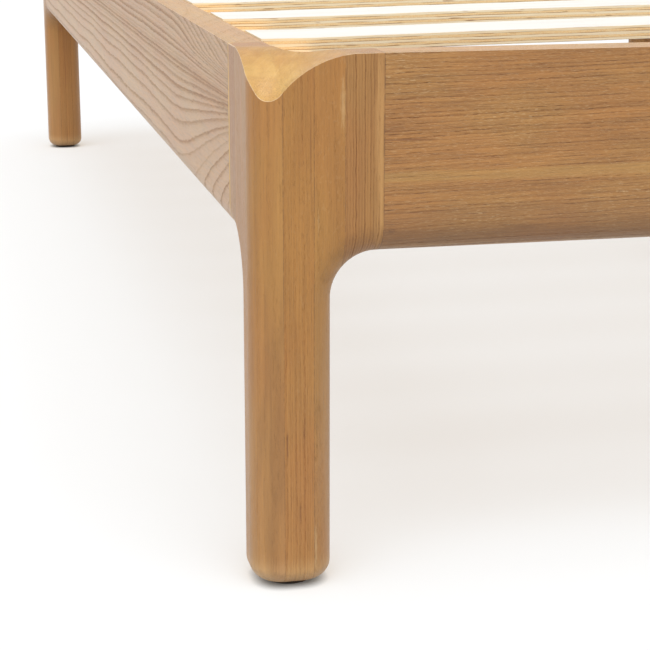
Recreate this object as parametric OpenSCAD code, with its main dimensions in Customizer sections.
// Platform bed frame in solid oak, for a 1600 x 2000 mm mattress.
// Each corner leg is glued up from upright staves and two wing blocks, and its outer top corner is dished.
// The four rails butt against the wings, where dowels and a screwed steel plate hold each joint.
// Sprung plywood slats drop over pegs in the side ledges, and a centre beam on two legs stops their sag.
// +X runs across the bed, +Y from the foot to the head, +Z up. The origin is on the floor at the middle.

/* [Overall size] */
// Width over the outer faces of the side rails
frame_w = 1660; // [1300:10:2000]
// Length over the outer faces of the foot and head rails
frame_l = 2060; // [1900:10:2260]
// Height of the rail tops above the floor
top_h = 365; // [320:1:420]

/* [Rails] */
// Height of each rail
rail_h = 133; // [125:1:150]
// Thickness of the side rails
side_rail_t = 25; // [23:0.5:32]
// Thickness of the foot and head rails
end_rail_t = 30; // [24:0.5:36]
// Radius of the rails' lower outer edge and of the legs' upright edges
edge_r = 22; // [14:0.5:22.5]

/* [Legs] */
// Side of the square leg below the rails
leg_w = 56; // [52:1:60]
// Width of the glued-up blank that each leg is shaped from
blank_w = 62; // [61:0.5:66]
// Number of staves in the blank
stave_count = 3; // [2:1:3]
// Radius of the hollow curve between a leg and the underside of a wing
fillet_r = 31; // [26:1:36]
// Straight part at the end of each wing
wing_flat = 1; // [1:0.5:6]
// Radius of the hollow inner corner at the leg's top
hollow_r = 36; // [10:1:38]
// Depth of the leg's inner shoulder below the rail tops
shoulder_d = 20; // [14:1:40]
// Radius around the leg's lower end
toe_r = 12; // [4:0.5:13]

/* [Dished corner] */
// Depth of the dish below the rail tops, at its lowest point
dish_d = 29.8; // [20:0.2:34]
// Distance from the dish's axis to where it meets the flat top
dish_reach = 64.5; // [56:0.5:66]
// Radius of the round bowl at the bottom of the dish
dish_bowl_r = 12.5; // [8:0.5:20]
// Distance of the dish's axis from the side rail's outer face
dish_x = 10; // [6:0.5:11]
// Distance of the dish's axis from the end rail's outer face
dish_y = 0.5; // [0.5:0.5:8]

/* [Slats] */
// Number of slats
slat_count = 12; // [10:1:14]
// Width of a slat
slat_w = 65; // [50:1:80]
// Thickness of a slat
slat_t = 10; // [9:0.5:14]
// Rise of a slat's middle above its ends
slat_crown = 8; // [3:0.5:12]
// Distance from the foot rail's outer face to the first slat
slat_inset = 100; // [92:1:130]
// Height of the slat ends above the rail tops
slat_proud = 1; // [0:0.5:4]
// Gap between a slat's end and the side rail
slat_end_gap = 0.5; // [0.3:0.1:4]

/* [Ledges and pegs] */
// Width of the ledge that carries the slat ends
ledge_w = 35; // [30:1:45]
// Height of the ledge
ledge_h = 25; // [22:1:40]
// Distance from the end rail's outer face to the ledge's end
ledge_inset = 68; // [64:1:90]
// Radius of a locating peg
peg_r = 4; // [3:0.5:5]
// Depth of a peg in the ledge
peg_in_ledge = 15; // [10:1:18]
// Depth of a peg in the slat
peg_in_slat = 6; // [4:0.5:7]
// Radius of a ledge screw's shank
ledge_screw_r = 2.5; // [2:0.25:3]
// Depth of a ledge screw in the side rail
ledge_screw_bite = 16; // [12:1:20]

/* [Rail joints] */
// Radius of a dowel
dowel_r = 4; // [3:0.5:5]
// Length of a dowel
dowel_l = 40; // [30:1:46]
// Height of the lower dowel above the rail's underside
dowel_low = 22; // [19:1:26]
// Height of the upper dowel above the rail's underside
dowel_high = 96; // [90:1:110]
// Length of a joint plate
plate_l = 44; // [40:1:46]
// Height of a joint plate
plate_h = 44; // [36:1:48]
// Thickness of a joint plate
plate_t = 3; // [2:0.5:4]
// Height of a joint plate above the rail's underside
plate_low = 36; // [34:1:40]
// Distance of a plate's screws from its ends and edges
plate_margin = 9; // [8:0.5:11]
// Radius of a plate screw's shank
plate_screw_r = 2.5; // [2:0.25:3]
// Radius of a screw head
screw_head_r = 4.5; // [4:0.25:6]
// Height of a screw head
screw_head_h = 3; // [2:0.5:4]
// Depth of a plate screw in the wood
plate_screw_bite = 18; // [12:1:20]

/* [Centre beam] */
// Width of the centre beam
beam_w = 45; // [35:1:60]
// Height of the centre beam
beam_h = 70; // [60:1:90]
// Thickness of the hanger's sheet steel
hanger_t = 2.5; // [2:0.5:4]
// Distance that the hanger's shoe stands out from its back plate
hanger_reach = 35; // [25:1:50]
// Height of the hanger's cheeks
hanger_cheek_h = 50; // [40:1:55]
// Width of each flange of the hanger's back plate
hanger_flange = 22; // [18:1:30]
// Gap between the beam's end and the hanger's back plate
beam_end_gap = 1; // [0.5:0.5:3]
// Radius of a centre leg
centre_leg_r = 22; // [18:1:30]
// Radius of the bolt that joins a centre leg to the beam
leg_bolt_r = 4; // [3:0.5:5]
// Depth of the bolt in the beam and in the leg
leg_bolt_bite = 32; // [25:1:40]

/* [Pads] */
// Radius of a felt pad
pad_r = 16; // [12:1:20]
// Thickness of a felt pad
pad_t = 3; // [2:0.5:5]

/* [Clearances] */
// Gap around a screw, dowel, peg or bolt in its hole
hole_gap = 0.1; // [0.05:0.05:0.3]
// Gap left at the blind end of a hole
end_gap = 0.5; // [0.2:0.1:1]
// Gap on each side of the beam in its hanger
cheek_gap = 0.5; // [0.3:0.1:1]

/* [Hidden] */
$fn = 72;
over = 1;
dish_lip = 0.2;
dish_blend = 0.6;
slat_facets = 25;

wing_l = leg_w + fillet_r + wing_flat;
rail_bottom = top_h - rail_h;
curve_bottom = rail_bottom - fillet_r;
shoulder_h = top_h - shoulder_d;
stave_w = blank_w / stave_count;
ledge_top = top_h + slat_proud - slat_t;
ledge_bottom = ledge_top - ledge_h;
slat_l = frame_w - 2 * side_rail_t - 2 * slat_end_gap;
slat_pitch = (frame_l - 2 * slat_inset - slat_w) / (slat_count - 1);
arch_half = slat_l / 2 - ledge_w;
beam_top = ledge_top + slat_rise(0);
beam_bottom = beam_top - beam_h;
beam_l = frame_l - 2 * (end_rail_t + hanger_t + beam_end_gap);
hanger_w = beam_w + 2 * cheek_gap + 2 * hanger_t;
hanger_back_w = hanger_w + 2 * hanger_flange;
centre_leg_y = frame_l / 6;

// A corner is [x, y] signs: the way in from the outer corner of the frame
foot_left = [1, 1];
foot_right = [-1, 1];
head_left = [1, -1];
head_right = [-1, -1];
LEGS = [
    ["foot_left", foot_left], ["foot_right", foot_right],
    ["head_left", head_left], ["head_right", head_right]
];
STAVES = ["outer_stave", "middle_stave", "inner_stave"];

function stave_names(leg) = [for (i = [0:stave_count - 1]) str(leg, "_", STAVES[i])];
function leg_names(leg) = concat(stave_names(leg), [str(leg, "_end_wing"), str(leg, "_side_wing")]);
function slat_name(i) = str("slat_", i < 10 ? "0" : "", i);

// Distance of slat i's middle from the frame's middle, where slat 1 is at the foot
function slat_y(i) = -frame_l / 2 + slat_inset + slat_w / 2 + (i - 1) * slat_pitch;
// Height of a slat above its ends, x from its middle, where the arch is made of short flats
function arch(x) = slat_crown * (1 - pow(x / arch_half, 2));
function slat_rise(x) = arch(max(abs(x), arch_half / slat_facets));
// Places along the arch where its short flats meet
function arch_xs() = [for (i = [0:slat_facets]) arch_half * (2 * i / slat_facets - 1)];
// The bowl and the curve that eases it into the flat top touch, so their centres are this far apart
dish_drop = dish_d + dish_lip;
dish_swing = (dish_reach * dish_reach + dish_drop * dish_drop) / (2 * dish_drop);
dish_ease_r = dish_swing - dish_bowl_r;
// Distance from the axis, and height, where the bowl turns over into the easing curve
dish_turn_x = dish_reach * dish_bowl_r / dish_swing;
dish_turn_z = dish_bowl_r - dish_d + (dish_drop - dish_swing) * dish_bowl_r / dish_swing;

// Moves children from a leg's own axes to its corner, with x and y running in from the outer corner
module at_corner(corner) {
    translate([-corner[0] * frame_w / 2, -corner[1] * frame_l / 2, 0])
        flip_if(corner[0] < 0, [1, 0, 0]) flip_if(corner[1] < 0, [0, 1, 0]) children();
}

module flip_if(flip, axis) {
    if (flip) mirror(axis) children();
    else children();
}

// Exchanges x and y, which turns what belongs to the end rail into what belongs to the side rail
module side_ways() {
    mirror([1, -1, 0]) children();
}

module oak() {
    color([0.74, 0.54, 0.34]) children();
}

module steel() {
    color([0.62, 0.63, 0.65]) children();
}

// What is cut from a square corner at the origin to round it
module corner_cut_2d() {
    difference() {
        translate([-over, -over]) square(edge_r + over);
        translate([edge_r, edge_r]) circle(edge_r);
    }
}

// Upright section of the leg from its axis outwards, with the toe rounded
module leg_section_2d(reach) {
    difference() {
        translate([0, pad_t]) square([reach, shoulder_h - pad_t]);
        difference() {
            translate([reach - toe_r, pad_t - over]) square(toe_r + over);
            translate([reach - toe_r, pad_t + toe_r]) circle(toe_r);
        }
    }
}

// One straight run of the leg's faces, between the rounded upright edges
module leg_run() {
    translate([leg_w / 2, leg_w - edge_r, 0]) rotate([90, 0, 0]) linear_extrude(leg_w - 2 * edge_r) {
        leg_section_2d(leg_w / 2);
        mirror([1, 0]) leg_section_2d(leg_w / 2);
    }
}

// The leg from the floor pad to its inner shoulder
module leg_post() {
    for (x = [edge_r, leg_w - edge_r])
        for (y = [edge_r, leg_w - edge_r])
            translate([x, y, 0]) rotate_extrude() leg_section_2d(edge_r);
    leg_run();
    side_ways() leg_run();
}

// Plan of the leg's top with its two wings
module wings_2d() {
    difference() {
        union() {
            square([wing_l, end_rail_t]);
            square([side_rail_t, wing_l]);
            difference() {
                translate([side_rail_t - over, end_rail_t - over]) square(hollow_r + over);
                translate([side_rail_t + hollow_r, end_rail_t + hollow_r]) circle(hollow_r);
            }
        }
        corner_cut_2d();
    }
}

// Section of what is cut from under a wing of thickness t: x is the distance from the hollow curve's axis
module under_wing_2d(t) {
    translate([0, -over]) square([fillet_r, t + 2 * over]);
    difference() {
        translate([fillet_r - over, -over]) square([edge_r + over, edge_r + over]);
        translate([fillet_r + edge_r, edge_r]) circle(edge_r);
    }
}

// The hollow curve under the end wing, with the rounded edge that follows it
module under_wing_cut(t) {
    translate([leg_w + fillet_r, 0, curve_bottom])
        rotate([-90, 0, 0]) rotate([0, 0, 180]) rotate_extrude(angle = 90) under_wing_2d(t);
    translate([wing_l + over, 0, curve_bottom])
        rotate([0, -90, 0]) linear_extrude(wing_flat + over) under_wing_2d(t);
}

module wings() {
    difference() {
        translate([0, 0, curve_bottom]) linear_extrude(top_h - curve_bottom) wings_2d();
        under_wing_cut(end_rail_t);
        side_ways() under_wing_cut(side_rail_t);
    }
}

// Half section of the dish: a round bowl that turns over into the flat top
module dish_2d() {
    intersection() {
        translate([0, dish_bowl_r - dish_d]) circle(dish_bowl_r);
        translate([0, -dish_d]) square([dish_turn_x, dish_turn_z + dish_d + dish_blend]);
    }
    difference() {
        translate([0, dish_turn_z]) square([dish_reach, over - dish_turn_z]);
        translate([dish_reach, dish_lip - dish_ease_r]) circle(dish_ease_r);
    }
}

module dish() {
    translate([dish_x, dish_y, top_h]) rotate_extrude() dish_2d();
}

module stave(corner, i) {
    oak() at_corner(corner) difference() {
        intersection() {
            union() {
                leg_post();
                wings();
            }
            translate([i * stave_w, 0, 0]) cube([stave_w, blank_w, top_h]);
        }
        dish();
    }
}

module end_wing(corner) {
    oak() at_corner(corner) difference() {
        intersection() {
            wings();
            translate([blank_w, 0, 0]) cube([wing_l - blank_w, end_rail_t, top_h]);
        }
        dish();
        joint_holes(end_rail_t);
    }
}

module side_wing(corner) {
    oak() at_corner(corner) difference() {
        intersection() {
            wings();
            translate([0, blank_w, 0]) cube([side_rail_t, wing_l - blank_w, top_h]);
        }
        dish();
        side_ways() joint_holes(side_rail_t);
    }
}

// The two dowels across the joint between a wing and its rail, wider by gap and longer by slack at each end
module joint_dowels(t, gap = 0, slack = 0) {
    for (z = [dowel_low, dowel_high])
        translate([wing_l - dowel_l / 2 - slack, t / 2, rail_bottom + z])
            rotate([0, 90, 0]) cylinder(h = dowel_l + 2 * slack, r = dowel_r + gap);
}

// Puts children at a joint plate's four screw places, pointing along +Z out of the wood
module at_plate_screws(t) {
    for (x = [wing_l - plate_l / 2 + plate_margin, wing_l + plate_l / 2 - plate_margin])
        for (z = [plate_margin, plate_h - plate_margin])
            translate([x, t, rail_bottom + plate_low + z]) rotate([-90, 0, 0]) children();
}

// A screw whose head rests on a plate of thickness t, with its point bite deep in the wood
module plate_screw(t) {
    translate([0, 0, -plate_screw_bite]) cylinder(h = plate_screw_bite + t, r = plate_screw_r);
    translate([0, 0, t]) cylinder(h = screw_head_h, r = screw_head_r);
}

module plate_screw_hole() {
    translate([0, 0, -plate_screw_bite - end_gap])
        cylinder(h = plate_screw_bite + end_gap + over, r = plate_screw_r + hole_gap);
}

module joint_holes(t) {
    joint_dowels(t, hole_gap, end_gap);
    at_plate_screws(t) plate_screw_hole();
}

module joint_plate(t) {
    difference() {
        translate([wing_l - plate_l / 2, t, rail_bottom + plate_low]) cube([plate_l, plate_t, plate_h]);
        at_plate_screws(t) translate([0, 0, -over])
            cylinder(h = plate_t + 2 * over, r = plate_screw_r + hole_gap);
    }
}

module joint_plates(corner) {
    steel() at_corner(corner) {
        joint_plate(end_rail_t);
        side_ways() joint_plate(side_rail_t);
    }
}

module joint_plate_screws() {
    steel() for (leg = LEGS) at_corner(leg[1]) {
        at_plate_screws(end_rail_t) plate_screw(plate_t);
        side_ways() at_plate_screws(side_rail_t) plate_screw(plate_t);
    }
}

module rail_dowels() {
    color([0.8, 0.66, 0.46]) for (leg = LEGS) at_corner(leg[1]) {
        joint_dowels(end_rail_t);
        side_ways() joint_dowels(side_rail_t);
    }
}

// Section of a rail, with its outer face at x = 0 and its rounded edge low
module rail_2d(t) {
    difference() {
        square([t, rail_h]);
        corner_cut_2d();
    }
}

module end_rail(side) {
    oak() flip_if(side < 0, [0, 1, 0]) difference() {
        translate([wing_l - frame_w / 2, -frame_l / 2, rail_bottom])
            rotate([90, 0, 90]) linear_extrude(frame_w - 2 * wing_l) rail_2d(end_rail_t);
        for (corner = [foot_left, foot_right]) at_corner(corner) joint_holes(end_rail_t);
        at_hanger_screws() plate_screw_hole();
    }
}

module side_rail(side) {
    oak() flip_if(side < 0, [1, 0, 0]) difference() {
        translate([-frame_w / 2, frame_l / 2 - wing_l, rail_bottom])
            rotate([90, 0, 0]) linear_extrude(frame_l - 2 * wing_l) rail_2d(side_rail_t);
        for (corner = [foot_left, head_left]) at_corner(corner) side_ways() joint_holes(side_rail_t);
        at_ledge_screws() ledge_screw(hole_gap, end_gap);
    }
}

// Puts children at one side's ledge screws, halfway between slats, pointing along +Z out of the ledge
module at_ledge_screws() {
    middle = (ledge_top + ledge_bottom) / 2;
    for (i = [1:2:slat_count - 1])
        translate([side_rail_t + ledge_w - frame_w / 2, slat_y(i) + slat_pitch / 2, middle])
            rotate([0, 90, 0]) children();
}

// A ledge screw, sunk so that its head lies flush, wider by gap and longer by slack at its point
module ledge_screw(gap = 0, slack = 0) {
    length = ledge_w + ledge_screw_bite + slack;
    translate([0, 0, -length]) cylinder(h = length - screw_head_h / 2, r = ledge_screw_r + gap);
    translate([0, 0, -screw_head_h]) cylinder(h = screw_head_h + gap, r = screw_head_r + gap);
}

module ledge_screws() {
    steel() for (side = [1, -1]) flip_if(side < 0, [1, 0, 0]) at_ledge_screws() ledge_screw();
}

// Puts children at one side's pegs, at the height where the slat meets the ledge
module at_pegs() {
    for (i = [1:slat_count])
        translate([side_rail_t + ledge_w / 2 - frame_w / 2, slat_y(i), ledge_top]) children();
}

module peg(gap = 0, slack = 0) {
    translate([0, 0, -peg_in_ledge - slack])
        cylinder(h = peg_in_ledge + peg_in_slat + 2 * slack, r = peg_r + gap);
}

module slat_pegs() {
    color([0.8, 0.66, 0.46]) for (side = [1, -1]) flip_if(side < 0, [1, 0, 0]) at_pegs() peg();
}

module ledge(side) {
    color([0.82, 0.66, 0.45]) flip_if(side < 0, [1, 0, 0]) difference() {
        translate([side_rail_t - frame_w / 2, ledge_inset - frame_l / 2, ledge_bottom])
            cube([ledge_w, frame_l - 2 * ledge_inset, ledge_h]);
        at_ledge_screws() ledge_screw(hole_gap, end_gap);
        at_pegs() peg(hole_gap, end_gap);
    }
}

// Long section of a slat: flat where it rests on the ledges, arched between them
module slat_2d() {
    xs = arch_xs();
    ends = slat_l / 2;
    polygon(concat(
        [[-ends, 0]],
        [for (x = xs) [x, arch(x)]],
        [[ends, 0], [ends, slat_t]],
        [for (i = [len(xs) - 1:-1:0]) [xs[i], arch(xs[i]) + slat_t]],
        [[-ends, slat_t]]
    ));
}

module slat(i) {
    color([0.87, 0.74, 0.54]) difference() {
        translate([0, slat_y(i) + slat_w / 2, ledge_top]) rotate([90, 0, 0]) linear_extrude(slat_w) slat_2d();
        for (side = [1, -1]) flip_if(side < 0, [1, 0, 0]) at_pegs() peg(hole_gap, end_gap);
    }
}

module centre_beam() {
    color([0.84, 0.7, 0.5]) difference() {
        translate([-beam_w / 2, -beam_l / 2, beam_bottom]) cube([beam_w, beam_l, beam_h]);
        at_centre_legs() leg_bolt(hole_gap, end_gap);
    }
}

// Puts children at the four screws in the foot rail's hanger, pointing along +Z out of the wood
module at_hanger_screws() {
    for (x = [-1, 1])
        for (z = [hanger_flange / 2, hanger_cheek_h - hanger_flange / 2])
            translate([x * (hanger_w + hanger_flange) / 2, end_rail_t - frame_l / 2, beam_bottom + z])
                rotate([-90, 0, 0]) children();
}

// Bent sheet: a back plate with a flange each side, and a shoe that the beam drops into
module beam_hanger(side) {
    steel() flip_if(side < 0, [0, 1, 0]) difference() {
        translate([0, end_rail_t - frame_l / 2, beam_bottom - hanger_t]) {
            translate([-hanger_back_w / 2, 0, 0]) cube([hanger_back_w, hanger_t, hanger_cheek_h + hanger_t]);
            translate([-hanger_w / 2, 0, 0]) cube([hanger_w, hanger_reach, hanger_t]);
            for (x = [-hanger_w / 2, hanger_w / 2 - hanger_t])
                translate([x, 0, 0]) cube([hanger_t, hanger_reach, hanger_cheek_h + hanger_t]);
        }
        at_hanger_screws() translate([0, 0, -over])
            cylinder(h = hanger_t + 2 * over, r = plate_screw_r + hole_gap);
    }
}

module hanger_screws() {
    steel() for (side = [1, -1]) flip_if(side < 0, [0, 1, 0]) at_hanger_screws() plate_screw(hanger_t);
}

// Puts children where the centre legs meet the beam's underside
module at_centre_legs() {
    for (y = [-centre_leg_y, centre_leg_y]) translate([0, y, beam_bottom]) children();
}

module leg_bolt(gap = 0, slack = 0) {
    translate([0, 0, -leg_bolt_bite - slack]) cylinder(h = 2 * (leg_bolt_bite + slack), r = leg_bolt_r + gap);
}

module centre_leg(side) {
    oak() difference() {
        translate([0, side * centre_leg_y, pad_t]) cylinder(h = beam_bottom - pad_t, r = centre_leg_r);
        at_centre_legs() leg_bolt(hole_gap, end_gap);
    }
}

module centre_leg_bolts() {
    steel() at_centre_legs() leg_bolt();
}

module felt_pads() {
    color([0.16, 0.13, 0.11]) {
        for (leg = LEGS)
            at_corner(leg[1]) translate([leg_w / 2, leg_w / 2, 0]) cylinder(h = pad_t, r = pad_r);
        for (y = [-centre_leg_y, centre_leg_y]) translate([0, y, 0]) cylinder(h = pad_t, r = pad_r);
    }
}

for (leg = LEGS) for (i = [0:stave_count - 1])
    stave(leg[1], i);
for (leg = LEGS) end_wing(leg[1]);
for (leg = LEGS) side_wing(leg[1]);
for (leg = LEGS) joint_plates(leg[1]);
end_rail(1);  // foot_rail
end_rail(-1);  // head_rail
side_rail(1);  // left_side_rail
side_rail(-1);  // right_side_rail
ledge(1);  // left_ledge
ledge(-1);  // right_ledge
for (i = [1:slat_count]) slat(i);
centre_beam();
beam_hanger(1);  // foot_beam_hanger
beam_hanger(-1);  // head_beam_hanger
centre_leg(-1);  // foot_centre_leg
centre_leg(1);  // head_centre_leg
joint_plate_screws();
rail_dowels();
ledge_screws();
slat_pegs();
hanger_screws();
centre_leg_bolts();
felt_pads();
